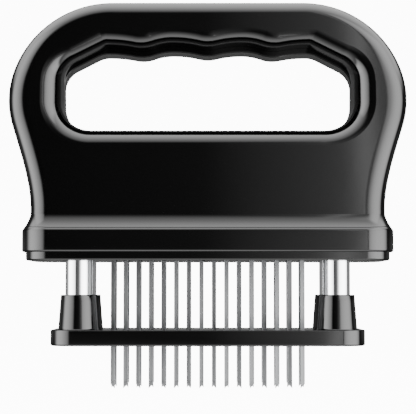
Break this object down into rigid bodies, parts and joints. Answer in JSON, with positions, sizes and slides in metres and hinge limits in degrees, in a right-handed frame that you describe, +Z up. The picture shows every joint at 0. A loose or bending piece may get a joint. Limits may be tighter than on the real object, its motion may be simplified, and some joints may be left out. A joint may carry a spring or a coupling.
{
  "type": "blade meat tenderizer",
  "caption": "Push-down meat tenderizer: a looped hand grip drives rows of thin chisel-tipped blades through a sprung, slotted guard plate that slides on guide posts.",
  "frame": {"origin": "under the middle of the handle, level with the tips of the blades", "axes": "+X along the handle, +Y from the front face to the back face, +Z up from the blade tips to the crown of the grip"},
  "size_m": [0.1544, 0.051, 0.1502],
  "materials": {
    "handle_black": "polished black ABS with a soft sheen and light handling marks",
    "cover_black": "polished black ABS",
    "guard_black": "polished black ABS",
    "inner_plastic": "as-moulded black nylon",
    "bush_plastic": "as-moulded black acetal",
    "clamp_steel": "plain stamped steel",
    "screw_steel": "plain steel screws with a cross slot",
    "blade_steel": "ground stainless steel",
    "post_chrome": "mirror chrome",
    "collar_steel": "turned steel",
    "spring_steel": "drawn spring wire"
  },
  "bodies": {
    "handle": {"handle_front_shell": "handle_black", "handle_rear_shell": "handle_black", "bottom_cover": "cover_black", "blade_carrier": "inner_plastic", "clamp_plate": "clamp_steel", "clamp_screws": "screw_steel", "cover_screws": "screw_steel", "blades_front_row": "blade_steel", "blades_middle_row": "blade_steel", "blades_rear_row": "blade_steel", "guide_bush_left_front": "bush_plastic", "guide_bush_right_front": "bush_plastic", "guide_bush_left_rear": "bush_plastic", "guide_bush_right_rear": "bush_plastic"},
    "guard": {"guard_plate": "guard_black", "guide_post_left_front": "post_chrome", "guide_post_right_front": "post_chrome", "guide_post_left_rear": "post_chrome", "guide_post_right_rear": "post_chrome", "post_collar_left_front": "collar_steel", "post_collar_right_front": "collar_steel", "post_collar_left_rear": "collar_steel", "post_collar_right_rear": "collar_steel", "return_spring_left_front": "spring_steel", "return_spring_right_front": "spring_steel", "return_spring_left_rear": "spring_steel", "return_spring_right_rear": "spring_steel"}
  },
  "joints": [
    {"name": "guard_slide", "type": "slide", "parent": "handle", "child": "guard", "axis": [0, 0, 1], "range_m": [-0.0185, 0.0128], "stiffness_N_per_m": 600, "springref_m": -0.035, "deforming": ["return_spring_left_front", "return_spring_right_front", "return_spring_left_rear", "return_spring_right_rear"]}
  ]
}
